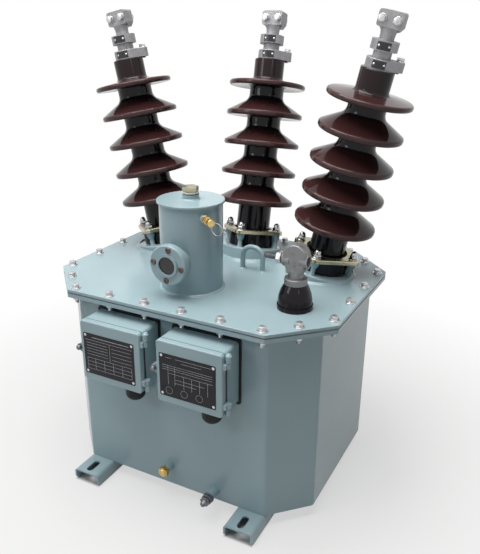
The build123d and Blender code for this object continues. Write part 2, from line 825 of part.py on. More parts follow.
with BuildPart() as terminal_boards:
    for centre in box_centres.values():
        with BuildSketch(on_front(centre, foot_height + box_centre_height, seat_thickness + box_wall)):
            RectangleRounded(board_width, board_height, board_corner_radius)
        extrude(amount=board_thickness)
terminal_boards.part.label = "terminal_boards"
export_step(terminal_boards.part, "parts/terminal_boards.step")

with BuildPart() as hinge_pins:
    for centre in box_centres.values():
        for level in (body_knuckles[0], cover_knuckles[1]):
            with BuildSketch(Plane((centre + box_width / 2 + hinge_offset, seam_y, level))):
                Circle(hinge_pin_radius)
            extrude(amount=pin_length)
hinge_pins.part.label = "hinge_pins"
export_step(hinge_pins.part, "parts/hinge_pins.step")

# Drain plug and earthing bolt on their bosses
with BuildPart() as drain_plug:
    with BuildSketch(drain_face.offset(drain_boss_length)):
        RegularPolygon(drain_hex_width / 2, 6, major_radius=False)
    extrude(amount=drain_hex_length)
    with BuildSketch(drain_face.offset(drain_boss_length + drain_hex_length)):
        Circle(drain_tip_radius)
    extrude(amount=drain_tip_length)
drain_plug.part.label = "drain_plug"
export_step(drain_plug.part, "parts/drain_plug.step")

earth_nut_level = earth_boss_length + earth_washer_thickness
with BuildPart() as earth_bolt:
    with BuildSketch(earth_face.offset(earth_boss_length)):
        Circle(earth_washer_radius)
    extrude(amount=earth_washer_thickness)
    with BuildSketch(earth_face.offset(earth_nut_level)):
        RegularPolygon(earth_hex_width / 2, 6, major_radius=False)
    extrude(amount=earth_hex_length)
    with BuildSketch(earth_face.offset(earth_nut_level)):
        Circle(earth_thread_radius)
    extrude(amount=earth_thread_length)
earth_bolt.part.label = "earth_bolt"
export_step(earth_bolt.part, "parts/earth_bolt.step")
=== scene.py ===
import json
import math
import bpy
import bmesh
from mathutils import Matrix, Vector


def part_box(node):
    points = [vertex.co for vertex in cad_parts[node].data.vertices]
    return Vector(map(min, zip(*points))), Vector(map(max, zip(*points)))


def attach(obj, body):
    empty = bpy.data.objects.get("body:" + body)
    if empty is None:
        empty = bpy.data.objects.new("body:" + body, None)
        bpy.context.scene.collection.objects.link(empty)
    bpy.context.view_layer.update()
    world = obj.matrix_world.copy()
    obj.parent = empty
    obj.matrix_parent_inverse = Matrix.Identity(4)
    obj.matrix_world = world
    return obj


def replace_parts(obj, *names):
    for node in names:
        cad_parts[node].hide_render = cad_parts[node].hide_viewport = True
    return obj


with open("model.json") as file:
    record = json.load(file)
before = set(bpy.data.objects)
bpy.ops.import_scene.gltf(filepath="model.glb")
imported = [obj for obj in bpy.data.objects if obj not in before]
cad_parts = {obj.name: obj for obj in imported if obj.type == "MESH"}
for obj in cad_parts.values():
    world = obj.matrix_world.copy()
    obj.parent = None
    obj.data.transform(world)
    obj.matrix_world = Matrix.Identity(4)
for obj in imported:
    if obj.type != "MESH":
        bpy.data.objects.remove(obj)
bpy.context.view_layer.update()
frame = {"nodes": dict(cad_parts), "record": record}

# Tank: a shell of bent steel plate with a welded floor and a flange round its mouth.
# It is degreased, primed and sprayed with gloss grey-green enamel, which dries with a
# slight orange peel and a little unevenness in its film.
first_stop = 0.2
last_stop = 0.8


def new_finish(name):
    """An empty finish: its material, its shader and a way to read object coordinates."""
    material = bpy.data.materials.new(name)
    material.use_nodes = True
    tree = material.node_tree
    place = tree.nodes.new("ShaderNodeTexCoord").outputs["Object"]
    return material, tree, tree.nodes["Principled BSDF"], place


def cloud(tree, place, scale, detail=3.0):
    """Soft noise at a scale, in patches to the metre."""
    noise = tree.nodes.new("ShaderNodeTexNoise")
    noise.inputs["Scale"].default_value = scale
    noise.inputs["Detail"].default_value = detail
    noise.inputs["Roughness"].default_value = 0.5
    tree.links.new(place, noise.inputs["Vector"])
    return noise.outputs["Fac"]


def tinted(tree, value, *stops):
    """A colour that runs softly through stops, each a position and a colour."""
    ramp = tree.nodes.new("ShaderNodeValToRGB")
    ramp.color_ramp.interpolation = "EASE"
    while len(ramp.color_ramp.elements) < len(stops):
        ramp.color_ramp.elements.new(0.5)
    for element, (position, colour) in zip(ramp.color_ramp.elements, stops):
        element.position = position
        element.color = (*colour, 1.0)
    tree.links.new(value, ramp.inputs["Fac"])
    return ramp.outputs["Color"]


def ranged(tree, value, low, high, new_low, new_high):
    """A value carried from one range to another."""
    node = tree.nodes.new("ShaderNodeMapRange")
    for socket, number in zip(("From Min", "From Max", "To Min", "To Max"), (low, high, new_low, new_high)):
        node.inputs[socket].default_value = number
    tree.links.new(value, node.inputs["Value"])
    return node.outputs["Result"]


def grained(tree, shader, height, depth):
    """Fine relief on a finish, its depth in metres."""
    bump = tree.nodes.new("ShaderNodeBump")
    bump.inputs["Strength"].default_value = 1.0
    bump.inputs["Distance"].default_value = depth
    tree.links.new(height, bump.inputs["Height"])
    tree.links.new(bump.outputs["Normal"], shader.inputs["Normal"])


def clouded_finish(name, colours, patch, gloss, grain, depth, metal=0.0, detail=3.0, shine=0.5):
    """A finish with cloudy colour, a cloudy gloss between two roughnesses, and a fine grain."""
    material, tree, shader, place = new_finish(name)
    patches = cloud(tree, place, patch, detail)
    step = (last_stop - first_stop) / (len(colours) - 1)
    stops = [(first_stop + step * index, colour) for index, colour in enumerate(colours)]
    tree.links.new(tinted(tree, patches, *stops), shader.inputs["Base Color"])
    tree.links.new(ranged(tree, patches, 0.1, 0.9, *gloss), shader.inputs["Roughness"])
    shader.inputs["Metallic"].default_value = metal
    shader.inputs["Specular IOR Level"].default_value = shine
    grained(tree, shader, cloud(tree, place, grain, 2.0), depth)
    return material


def dress(material, slot, *names):
    """Puts a finish on CAD nodes, which stay as they are."""
    for name in names:
        node = frame["nodes"][name]
        node.data.materials.clear()
        node.data.materials.append(material)


enamel = clouded_finish(
    "grey_green_enamel",
    [(0.280, 0.390, 0.425), (0.320, 0.436, 0.472)],
    patch=5.0, gloss=(0.17, 0.25), grain=240.0, depth=0.00010, shine=0.38,
)
dress(enamel, "grey_green_paint", "tank_shell", "tank_bottom", "tank_flange", "lid")


# Feet: two pressed steel channels, welded under the tank with the web up, in the same enamel.
# One long slot near each end takes a holding-down bolt.
dress(enamel, "grey_green_paint", "foot_left", "foot_right")


# Gasket: cork and rubber sheet, pinched between the tank's flange and the lid.
# Its cut edge is sprayed over with the tank and shows as a fine dark line.
painted_cork = clouded_finish(
    "painted_cork",
    [(0.085, 0.110, 0.118), (0.130, 0.165, 0.175)],
    patch=60.0, gloss=(0.50, 0.70), grain=900.0, depth=0.00015,
)
dress(painted_cork, "black_rubber", "lid_gasket")


# Rim bolts: zinc-plated hexagon bolts, each with a wide plain washer and a spring washer
# on the lid, and a washer and a nut under the flange with a little thread showing.
# Every head is left at its own turn.
bolt_across = 0.013
bolt_edge = 0.0008
rim_washer_radius = 0.0101
rim_washer_top = 0.0018
rim_spring_radius = 0.0070
rim_spring_top = 0.0038
rim_head_top = 0.0092
rim_nut_height = 0.0066
rim_bolt_end = 0.0062
rim_long_row = 0.2375
rim_long_places = (-0.209, -0.125, -0.042, 0.042, 0.125, 0.209)
rim_short_row = 0.3045
rim_short_places = (-0.136, -0.045, 0.045, 0.136)
rim_corner_x = 0.2591
rim_corner_y = 0.1916
turn_along_x = 37.0
turn_along_y = 53.0
bright_zinc = clouded_finish(
    "bright_zinc",
    [(0.42, 0.42, 0.43), (0.55, 0.54, 0.55), (0.66, 0.64, 0.65)],
    patch=140.0, gloss=(0.30, 0.44), grain=1200.0, depth=0.00006, metal=0.9,
)


def spun(points, steps=24):
    """A turned shape from pairs of radius and height, closed where it meets the axis."""
    bm = bmesh.new()
    verts = [bm.verts.new((radius, 0.0, height)) for radius, height in points]
    edges = [bm.edges.new(pair) for pair in zip(verts, verts[1:])]
    bmesh.ops.spin(
        bm, geom=verts + edges, cent=(0, 0, 0), axis=(0, 0, 1), dvec=(0, 0, 0),
        angle=math.tau, steps=steps, use_merge=True, use_duplicate=False,
    )
    bmesh.ops.remove_doubles(bm, verts=bm.verts, dist=1e-6)
    bmesh.ops.recalc_face_normals(bm, faces=bm.faces)
    return bm


def disc(radius, low, high):
    """The outline of a washer or a plain head between two levels, its upper edge broken."""
    edge = (high - low) * 0.25
    return [(0.0, low), (radius, low), (radius, high - edge), (radius - edge, high), (0.0, high)]


def threaded(radius, low, high, pitch):
    """The outline of a screw thread's end: ridges from a low to a high level, then a flat end."""
    points = [(0.0, low)]
    turns = int((high - low) / pitch)
    for index in range(turns):
        points.append((radius * 0.88, low + pitch * index))
        points.append((radius, low + pitch * (index + 0.5)))
    return points + [(radius * 0.80, high), (0.0, high)]


def hexagon(across, low, high, edge):
    """A hexagon bar across its flats, with its upper and lower edges broken."""
    bm = bmesh.new()
    bmesh.ops.create_cone(
        bm, cap_ends=True, segments=6, radius1=across / math.sqrt(3), radius2=across / math.sqrt(3),
        depth=high - low, matrix=Matrix.Translation((0, 0, (low + high) / 2)),
    )
    rims = [e for e in bm.edges if abs(e.verts[0].co.z - e.verts[1].co.z) < 1e-6]
    bmesh.ops.bevel(
        bm, geom=rims, offset=edge, offset_type="OFFSET", affect="EDGES",
        segments=2, profile=0.5, material=-1, clamp_overlap=True,
    )
    return bm


def set_in(piece, shape, *places):
    """Copies a shape into a piece at each place."""
    kept = bpy.data.meshes.new("shape")
    shape.to_mesh(kept)
    shape.free()
    for place in places:
        start = len(piece.verts)
        piece.from_mesh(kept)
        piece.verts.ensure_lookup_table()
        bmesh.ops.transform(piece, matrix=place, verts=piece.verts[start:])
    bpy.data.meshes.remove(kept)


def nutted(piece, across, height, end, *places):
    """A washer, a nut of a size across its flats and the bolt's end, at each place."""
    seat = across * 0.13
    top = seat + height
    set_in(piece, spun(disc(across * 0.62, 0.0, seat)), *places)
    set_in(piece, hexagon(across, seat, top, across * 0.05), *places)
    set_in(piece, spun(threaded(across * 0.31, top, top + end, across * 0.095), 16), *places)


def fit(name, bm, material, body, crease=38.0):
    """Makes a shape a finished piece that rides on a body."""
    mesh = bpy.data.meshes.new(name)
    bm.to_mesh(mesh)
    bm.free()
    mesh.shade_smooth()
    mesh.set_sharp_from_angle(angle=math.radians(crease))
    mesh.materials.append(material)
    piece = bpy.data.objects.new(name, mesh)
    bpy.context.scene.collection.objects.link(piece)
    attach(piece, body)
    return piece


lid_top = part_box("lid")[1].z
flange_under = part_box("tank_flange")[0].z
rim_places = []
for way in (-1, 1):
    rim_places += [(x, way * rim_long_row) for x in rim_long_places]
    rim_places += [(way * rim_short_row, y) for y in rim_short_places]
    rim_places += [(way * rim_corner_x, -rim_corner_y), (way * rim_corner_x, rim_corner_y)]
upper = []
lower = []
for x, y in rim_places:
    turned = Matrix.Rotation(x * turn_along_x + y * turn_along_y, 4, "Z")
    upper.append(Matrix.Translation((x, y, lid_top)) @ turned)
    lower.append(Matrix.Translation((x, y, flange_under)) @ Matrix.Rotation(math.pi, 4, "X"))

rim_bolts = bmesh.new()
set_in(rim_bolts, spun(disc(rim_washer_radius, 0.0, rim_washer_top)), *upper)
set_in(rim_bolts, spun(disc(rim_spring_radius, rim_washer_top, rim_spring_top)), *upper)
set_in(rim_bolts, hexagon(bolt_across, rim_spring_top, rim_head_top, bolt_edge), *upper)
nutted(rim_bolts, bolt_across, rim_nut_height, rim_bolt_end, *lower)
fit("rim_bolts", rim_bolts, bright_zinc, "tank")


# Turrets: round wedges of steel tube on the lid that set the bushings' lean,
# each closed by a plate and fixed by one fillet weld, then painted over.
turret_radius = 0.070
turret_throat = 0.0055
weld_sunk = 0.002
ripple_length = 0.0016
ripple_share = 0.10
jaw_level = 0.520
dress(enamel, "grey_green_paint", "bushing_turrets")

axes = {}
for side in ("left", "middle", "right"):
    mount = next(m for m in frame["record"]["mounts"] if m["name"] == f"{side}_line_clamp")
    along = Vector(mount["axis"])
    turn = Vector((0, 0, 1)).rotation_difference(along).to_matrix().to_4x4()
    axes[side] = Matrix.Translation(Vector(mount["pos_m"]) - along * jaw_level) @ turn


def weld(radius, throat, steps=72):
    """A fillet weld round a pipe, with the slight ripple of hand welding."""
    outline = [(radius - weld_sunk, 0.0), (radius + throat, 0.0), (radius + throat * 0.55, throat * 0.42)]
    outline += [(radius + throat * 0.18, throat * 0.85), (radius - weld_sunk, throat)]
    bm = spun(outline, steps)
    for vert in bm.verts:
        bearing = math.atan2(vert.co.y, vert.co.x)
        vert.co.z *= 1.0 + ripple_share * math.sin(bearing * radius / ripple_length)
    return bm


turret_welds = bmesh.new()
for seat in axes.values():
    lean = seat.to_3x3() @ Vector((0, 0, 1))
    stretch = Matrix.Scale(1 / lean.z, 4, Vector((lean.x, lean.y, 0)).normalized())
    set_in(turret_welds, weld(turret_radius, turret_throat), Matrix.Translation(seat.translation) @ stretch)
fit("turret_welds", turret_welds, enamel, "tank", crease=70.0)


# Bushings: brown glazed porcelain, turned in one piece with five sheds and fired upright.
# The necks and the foot are painted nearly black as painted shade under the sheds, and the neck
# above the top shed keeps the brown as painted light; the glaze thins over the shed rims, where a little more
# of the brown body shows through.
shed_radius = 0.0849
shoulder_level = 0.060
crown_start = 0.380


def maths(tree, operation, first, second):
    """The output of a maths node, its second input a number or another output."""
    node = tree.nodes.new("ShaderNodeMath")
    node.operation = operation
    tree.links.new(first, node.inputs[0])
    if isinstance(second, float):
        node.inputs[1].default_value = second
    else:
        tree.links.new(second, node.inputs[1])
    return node.outputs["Value"]


def glaze(name, seat, shade_colour, body, rim, rim_radius, foot_level, crown_level):
    """A glossy fired glaze round an upright axis, painted darkest on the necks and at the foot as shade under
    the sheds.
    """
    material, tree, shader, place = new_finish(name)
    upright = tree.nodes.new("ShaderNodeMapping")
    back = seat.inverted()
    upright.inputs["Location"].default_value = back.translation
    upright.inputs["Rotation"].default_value = back.to_euler("XYZ")
    tree.links.new(place, upright.inputs["Vector"])
    flat = tree.nodes.new("ShaderNodeVectorMath")
    flat.operation = "MULTIPLY"
    flat.inputs[1].default_value = (1, 1, 0)
    tree.links.new(upright.outputs["Vector"], flat.inputs[0])
    reach = tree.nodes.new("ShaderNodeVectorMath")
    reach.operation = "LENGTH"
    tree.links.new(flat.outputs["Vector"], reach.inputs[0])
    level = tree.nodes.new("ShaderNodeSeparateXYZ")
    tree.links.new(upright.outputs["Vector"], level.inputs["Vector"])
    runs = cloud(tree, upright.outputs["Vector"], 24.0)
    wander = maths(tree, "ADD", maths(tree, "MULTIPLY", runs, rim_radius * 0.06), reach.outputs["Value"])
    outward = ranged(tree, wander, 0.0, rim_radius * 1.03, 0.0, 1.0)
    above_foot = ranged(tree, level.outputs["Z"], foot_level, foot_level * 1.1, 0.0, 1.0)
    lit_crown = ranged(tree, level.outputs["Z"], crown_level, crown_level * 1.02, 0.0, 0.508)
    # Painted shade: the necks and the foot take the first, dark colour, and the crown above the top shed is
    # painted lit with the body colour.
    light_and_thin_glaze = maths(tree, "MAXIMUM", maths(tree, "MULTIPLY", outward, above_foot), lit_crown)
    shade = tinted(tree, light_and_thin_glaze, (0.47, shade_colour), (0.56, body), (0.93, body), (0.985, rim))
    tree.links.new(shade, shader.inputs["Base Color"])
    tree.links.new(ranged(tree, runs, 0.2, 0.8, 0.07, 0.13), shader.inputs["Roughness"])
    shader.inputs["Specular IOR Level"].default_value = 0.22
    grained(tree, shader, runs, 0.0002)
    return material


for side, seat in axes.items():
    # The first colour given here is painted shade for the necks and the foot.
    brown = glaze(
        f"brown_glaze_{side}", seat,
        shade_colour=(0.009, 0.008, 0.011), body=(0.044, 0.017, 0.017), rim=(0.060, 0.028, 0.028),
        rim_radius=shed_radius, foot_level=shoulder_level, crown_level=crown_start,
    )
    dress(brown, "brown_porcelain", f"bushing_{side}")


# Clamp plates: thick steel straps over the porcelain's shoulder, yellow-passivated zinc.
# Four welded studs pull each one down, with a casting under the ear and a domed nut on top.
stud_spread = 0.060
clamp_top = 0.0570
clamp_washer_radius = 0.0098
clamp_washer_top = 0.0587
clamp_nut_across = 0.015
clamp_nut_top = 0.0645
clamp_nut_edge = 0.0009
stud_outline = [(0.0, 0.0165), (0.0072, 0.0165), (0.0060, 0.0195), (0.0052, 0.0215), (0.0052, 0.0335)]
stud_outline += [(0.0066, 0.0335), (0.0078, 0.0372), (0.0090, 0.0405), (0.0090, 0.0478), (0.0, 0.0478)]
dome_outline = [(0.0070, 0.0640), (0.0070, 0.0668), (0.0064, 0.0700)]
dome_outline += [(0.0048, 0.0726), (0.0026, 0.0741), (0.0, 0.0745)]
yellow_zinc = clouded_finish(
    "yellow_zinc",
    [(0.31, 0.28, 0.18), (0.43, 0.40, 0.28), (0.52, 0.49, 0.38)],
    patch=45.0, gloss=(0.20, 0.36), grain=700.0, depth=0.00008, metal=1.0,
)
dress(yellow_zinc, "yellow_zinc", "bushing_clamp_left", "bushing_clamp_middle", "bushing_clamp_right")

stud_places = []
for seat in axes.values():
    for quarter in range(4):
        spread = Matrix.Rotation(quarter * math.tau / 4, 4, "Z") @ Matrix.Translation((stud_spread, 0, 0))
        stud_places.append(seat @ spread)
stud_feet = bmesh.new()
set_in(stud_feet, spun(stud_outline), *stud_places)
fit("stud_feet", stud_feet, enamel, "tank")

polished_zinc = clouded_finish(
    "polished_zinc",
    [(0.36, 0.36, 0.37), (0.48, 0.48, 0.49)],
    patch=90.0, gloss=(0.07, 0.14), grain=600.0, depth=0.00003, metal=1.0,
)
clamp_nuts = bmesh.new()
set_in(clamp_nuts, spun(disc(clamp_washer_radius, clamp_top, clamp_washer_top)), *stud_places)
set_in(clamp_nuts, hexagon(clamp_nut_across, clamp_washer_top, clamp_nut_top, clamp_nut_edge), *stud_places)
set_in(clamp_nuts, spun(dome_outline), *stud_places)
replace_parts(fit("clamp_nuts", clamp_nuts, polished_zinc, "tank"), "clamp_studs")


# Line terminals: sand-cast aluminium, blasted and left bare. A split collar grips the
# porcelain's crown and is drawn together by one bolt; a two-bolt jaw on top takes the conductor.
jaw_bolt_spread = 0.0145
jaw_front = -0.0123
jaw_rear = 0.017
jaw_nut_height = 0.0065
jaw_bolt_end = 0.0040
lug_turn = 30
lug_reach = 0.037
lug_top = 0.452
lug_depth = 0.019
lug_thread_radius = 0.0038
lug_thread_end = 0.0030
lug_thread_pitch = 0.00125
cap_washer_radius = 0.0080
cap_washer_top = 0.0017
cap_head_top = 0.0071
cast = clouded_finish(
    "cast_aluminium",
    [(0.21, 0.21, 0.22), (0.29, 0.29, 0.30), (0.38, 0.38, 0.39)],
    patch=70.0, gloss=(0.46, 0.60), grain=620.0, depth=0.00035, metal=0.75, detail=5.0,
)
for part in ("collar", "stem", "jaw"):
    dress(cast, "cast_aluminium", *(f"terminal_{part}_{side}" for side in axes))

jaw_bolts = bmesh.new()
lug_bolts = bmesh.new()
forward = Matrix.Rotation(math.pi / 2, 4, "X")
backward = Matrix.Rotation(-math.pi / 2, 4, "X")
under = Matrix.Translation((0, 0, -lug_depth)) @ Matrix.Rotation(math.pi, 4, "X")
for seat in axes.values():
    for x in (-jaw_bolt_spread, jaw_bolt_spread):
        front = seat @ Matrix.Translation((x, jaw_front, jaw_level)) @ forward
        rear = seat @ Matrix.Translation((x, jaw_rear, jaw_level)) @ backward
        set_in(jaw_bolts, spun(disc(cap_washer_radius, 0.0, cap_washer_top)), front)
        set_in(jaw_bolts, hexagon(bolt_across, cap_washer_top, cap_head_top, bolt_edge), front)
        nutted(jaw_bolts, bolt_across, jaw_nut_height, jaw_bolt_end, rear)
    lug = seat @ Matrix.Rotation(math.radians(lug_turn), 4, "Z") @ Matrix.Translation((lug_reach, 0, lug_top))
    set_in(lug_bolts, spun(disc(cap_washer_radius, 0.0, cap_washer_top)), lug)
    set_in(lug_bolts, hexagon(bolt_across, cap_washer_top, cap_head_top, bolt_edge), lug)
    lug_thread = threaded(lug_thread_radius, -0.0002, lug_thread_end, lug_thread_pitch)
    set_in(lug_bolts, spun(lug_thread, 16), lug @ under)
fit("jaw_bolts", jaw_bolts, bright_zinc, "tank")
fit("lug_bolts", lug_bolts, bright_zinc, "tank")


# Phase tags: small black enamelled plates, bent to the castings' curve and held by two
# rivets each. They are left blank.
tag_turn = 13
tag_width = 0.026
tag_height = 0.0140
tag_thickness = 0.0008
tag_gap = 0.0001
tag_seats = ((0.0270, 0.4425), (0.0260, 0.4750))
rivet_spread = 0.0095
rivet_outline = [(0.0021, 0.0), (0.0021, 0.0004), (0.0015, 0.0010), (0.0, 0.0012)]
tag_black = clouded_finish(
    "tag_black",
    [(0.010, 0.010, 0.012), (0.016, 0.016, 0.019), (0.024, 0.024, 0.028)],
    patch=300.0, gloss=(0.24, 0.36), grain=1500.0, depth=0.00003,
)


def bent_strip(radius, width, height, thickness):
    """A strip bent round an upright axis, facing forward, with its middle at zero height."""
    angle = width / radius
    bm = bmesh.new()
    outward = Matrix.Translation((radius + thickness / 2, 0, 0))
    start = Matrix.Rotation(-math.pi / 2 - angle / 2, 4, "Z") @ outward
    bmesh.ops.create_grid(bm, x_segments=1, y_segments=1, size=0.5, matrix=start @ forward)
    face = bm.faces[:][0]
    bmesh.ops.scale(bm, vec=(thickness, 1, height), space=start.inverted(), verts=bm.verts)
    bmesh.ops.spin(
        bm, geom=[face, *face.edges, *face.verts], cent=(0, 0, 0), axis=(0, 0, 1), dvec=(0, 0, 0),
        angle=angle, steps=10, use_merge=False, use_duplicate=False,
    )
    bmesh.ops.recalc_face_normals(bm, faces=bm.faces)
    return bm


tags = bmesh.new()
tag_rivets = bmesh.new()
for seat in axes.values():
    faced = seat @ Matrix.Rotation(math.radians(tag_turn), 4, "Z")
    for radius, level in tag_seats:
        strip = bent_strip(radius + tag_gap, tag_width, tag_height, tag_thickness)
        set_in(tags, strip, faced @ Matrix.Translation((0, 0, level)))
        for way in (-1, 1):
            around = Matrix.Rotation(way * rivet_spread / radius, 4, "Z")
            spot = around @ Matrix.Translation((0, tag_gap - radius - tag_thickness, level)) @ forward
            set_in(tag_rivets, spun(rivet_outline, 14), faced @ spot)
fit("phase_tags", tags, tag_black, "tank")
fit("tag_rivets", tag_rivets, bright_zinc, "tank")


# Conservator: a length of steel pipe welded upright on the lid with a disc welded on top.
# The sight flange is a ring drawn up over the glass by four socket screws.
pipe_radius = 0.0628
pipe_throat = 0.0042
filler_neck_radius = 0.0165
filler_neck_throat = 0.0028
cap_thickness = 0.0045
sight_flange_reach = 0.090
sight_screw_circle = 0.0310
sight_screw_turn = 6
socket_outline = [(0.0060, 0.0), (0.0060, 0.0009), (0.0052, 0.0018)]
socket_outline += [(0.0030, 0.0018), (0.0023, 0.0004), (0.0, 0.0002)]
dress(enamel, "grey_green_paint", "conservator", "conservator_cap", "sight_flange")
cap_low, cap_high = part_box("conservator_cap")
pipe = Vector(((cap_low.x + cap_high.x) / 2, (cap_low.y + cap_high.y) / 2, lid_top))
cap_face = Vector((pipe.x, pipe.y, cap_low.z + cap_thickness))
conservator_welds = bmesh.new()
set_in(conservator_welds, weld(pipe_radius, pipe_throat), Matrix.Translation(pipe))
set_in(conservator_welds, weld(filler_neck_radius, filler_neck_throat, 40), Matrix.Translation(cap_face))
fit("conservator_welds", conservator_welds, enamel, "tank", crease=70.0)

glass_low, glass_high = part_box("sight_glass")
glass_middle = (glass_low + glass_high) / 2
flange_face = Vector((glass_middle.x, pipe.y - sight_flange_reach, glass_middle.z))
dark_glass = clouded_finish(
    "dark_glass",
    [(0.006, 0.007, 0.008), (0.014, 0.016, 0.017), (0.022, 0.024, 0.024)],
    patch=45.0, gloss=(0.03, 0.07), grain=90.0, depth=0.00002,
)
dress(dark_glass, "sight_glass", "sight_glass")

browned_steel = clouded_finish(
    "browned_steel",
    [(0.060, 0.044, 0.040), (0.11, 0.083, 0.074), (0.20, 0.160, 0.145)],
    patch=200.0, gloss=(0.28, 0.42), grain=1500.0, depth=0.00005, metal=1.0,
)
sight_screws = bmesh.new()
for quarter in range(4):
    around = Matrix.Rotation(quarter * math.tau / 4 + math.radians(sight_screw_turn), 4, "Y")
    spot = Matrix.Translation(flange_face) @ around @ Matrix.Translation((0, 0, sight_screw_circle))
    set_in(sight_screws, spun(socket_outline), spot @ forward)
fit("sight_screws", sight_screws, browned_steel, "tank")


# Filler plug and vent: the plug is yellow-passivated steel on a rubber ring and a pale fibre
# washer; the vent is turned brass, with a thin seal wire through its knob.
plug_radius = 0.0115
plug_across = 0.028
plug_edge = 0.0020
plug_turn = 14
plug_head_low = 0.0042
plug_head_top = 0.0155
filler_ring_top = 0.0016
filler_ring_outline = [(0.0110, 0.0), (0.0146, 0.0), (0.0156, 0.0007)]
filler_ring_outline += [(0.0146, filler_ring_top), (0.0110, filler_ring_top)]
filler_washer_radius = 0.0164
vent_turn = -37
vent_height = 0.158
vent_start = 0.0740
vent_collar_radius = 0.0084
vent_collar_end = 0.0754
vent_across = 0.015
vent_head_end = 0.0830
vent_edge = 0.0007
knob_outline = [
    (0.0, 0.0830), (0.0055, 0.0830), (0.0055, 0.0850), (0.0047, 0.0856), (0.0047, 0.0870),
    (0.0055, 0.0876), (0.0055, 0.0930), (0.0042, 0.0945), (0.0042, 0.0960), (0.0071, 0.0962),
    (0.0075, 0.0968), (0.0075, 0.1004), (0.0070, 0.1010), (0.0, 0.1010),
]
wire_thickness = 0.0009
wire_loop = [
    (0.000, 0.003, 0.0985), (-0.003, 0.007, 0.1080), (0.001, 0.012, 0.1180), (0.010, 0.014, 0.1225),
    (0.019, 0.011, 0.1180), (0.023, 0.007, 0.1080), (0.017, 0.003, 0.0990), (0.008, 0.001, 0.0965),
]
plug_place = Matrix.Translation((pipe.x, pipe.y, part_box("filler_plug")[0].z))
plug_turned = plug_place @ Matrix.Rotation(math.radians(plug_turn), 4, "Z")
filler = bmesh.new()
set_in(filler, spun(disc(plug_radius, 0.0, plug_head_low), 32), plug_place)
set_in(filler, hexagon(plug_across, plug_head_low, plug_head_top, plug_edge), plug_turned)
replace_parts(fit("filler_plug_turned", filler, yellow_zinc, "tank"), "filler_plug")
rubber = clouded_finish(
    "black_rubber",
    [(0.008, 0.008, 0.009), (0.016, 0.016, 0.017), (0.026, 0.026, 0.027)],
    patch=60.0, gloss=(0.45, 0.65), grain=900.0, depth=0.00010, shine=0.2,
)
filler_seal = bmesh.new()
set_in(filler_seal, spun(filler_ring_outline, 40), plug_place)
fit("filler_seal", filler_seal, rubber, "tank")
fibre = clouded_finish(
    "pale_fibre",
    [(0.46, 0.45, 0.41), (0.60, 0.59, 0.54)],
    patch=120.0, gloss=(0.60, 0.75), grain=1400.0, depth=0.00010,
)
filler_washer = bmesh.new()
set_in(filler_washer, spun(disc(filler_washer_radius, filler_ring_top, plug_head_low), 40), plug_place)
fit("filler_washer", filler_washer, fibre, "tank")

brass = clouded_finish(
    "turned_brass",
    [(0.46, 0.31, 0.10), (0.60, 0.43, 0.17), (0.68, 0.52, 0.26)],
    patch=110.0, gloss=(0.20, 0.34), grain=1100.0, depth=0.00006, metal=1.0,
)
vent_way = Matrix.Rotation(math.radians(vent_turn), 4, "Z") @ Matrix.Rotation(math.pi / 2, 4, "Y")
vent_place = Matrix.Translation((pipe.x, pipe.y, lid_top + vent_height)) @ vent_way
vent = bmesh.new()
set_in(vent, spun(disc(vent_collar_radius, vent_start, vent_collar_end)), vent_place)
set_in(vent, hexagon(vent_across, vent_collar_end, vent_head_end, vent_edge), vent_place)
set_in(vent, spun(knob_outline, 28), vent_place)
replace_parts(fit("vent_turned", vent, brass, "tank"), "vent_valve")


def drawn_wire(name, points, thickness):
    """A closed loop of smooth drawn wire through control points, as a shape."""
    path = bpy.data.curves.new(name, "CURVE")
    path.dimensions = "3D"
    spline = path.splines.new("NURBS")
    spline.points.add(len(points) - 1)
    for point, place in zip(spline.points, points):
        point.co = (*place, 1.0)
    spline.order_u = 3
    spline.use_cyclic_u = True
    path.bevel_depth = thickness / 2
    path.bevel_resolution = 3
    path.resolution_u = 8
    holder = bpy.data.objects.new(name, path)
    mesh = bpy.data.meshes.new_from_object(holder)
    bm = bmesh.new()
    bm.from_mesh(mesh)
    bpy.data.objects.remove(holder)
    bpy.data.curves.remove(path)
    bpy.data.meshes.remove(mesh)
    return bm


seal_wire = bmesh.new()
set_in(seal_wire, drawn_wire("seal_wire", wire_loop, wire_thickness), vent_place)
fit("seal_wire", seal_wire, bright_zinc, "tank")


# Neutral bushing: a small porcelain bell, glazed nearly black, with a cast clamp on top.
# The neutral conductor enters on the right, and a stud with a big nut grips it from the left.
bell_radius = 0.0344
bell_foot_level = 0.0001
bell_crown_start = 0.060
boss_outline = [(0.0, 0.0100), (0.0150, 0.0100), (0.0142, 0.0225), (0.0128, 0.0262), (0.0, 0.0262)]
neutral_seal_radius = 0.0112
neutral_seal_start = 0.0262
neutral_nut_start = 0.0290
neutral_nut_end = 0.0385
neutral_nut_across = 0.021
neutral_nut_edge = 0.0011
neutral_stud_radius = 0.0056
neutral_stud_end = 0.0645
neutral_stud_pitch = 0.00175
bell_low, bell_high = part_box("neutral_bushing")
bell_middle = (bell_low + bell_high) / 2
dark_glaze = glaze(
    "dark_glaze", Matrix.Translation((bell_middle.x, bell_middle.y, lid_top)),
    shade_colour=(0.006, 0.005, 0.008), body=(0.008, 0.005, 0.008), rim=(0.018, 0.009, 0.012),
    rim_radius=bell_radius, foot_level=bell_foot_level, crown_level=bell_crown_start,
)
dress(dark_glaze, "dark_porcelain", "neutral_bushing")
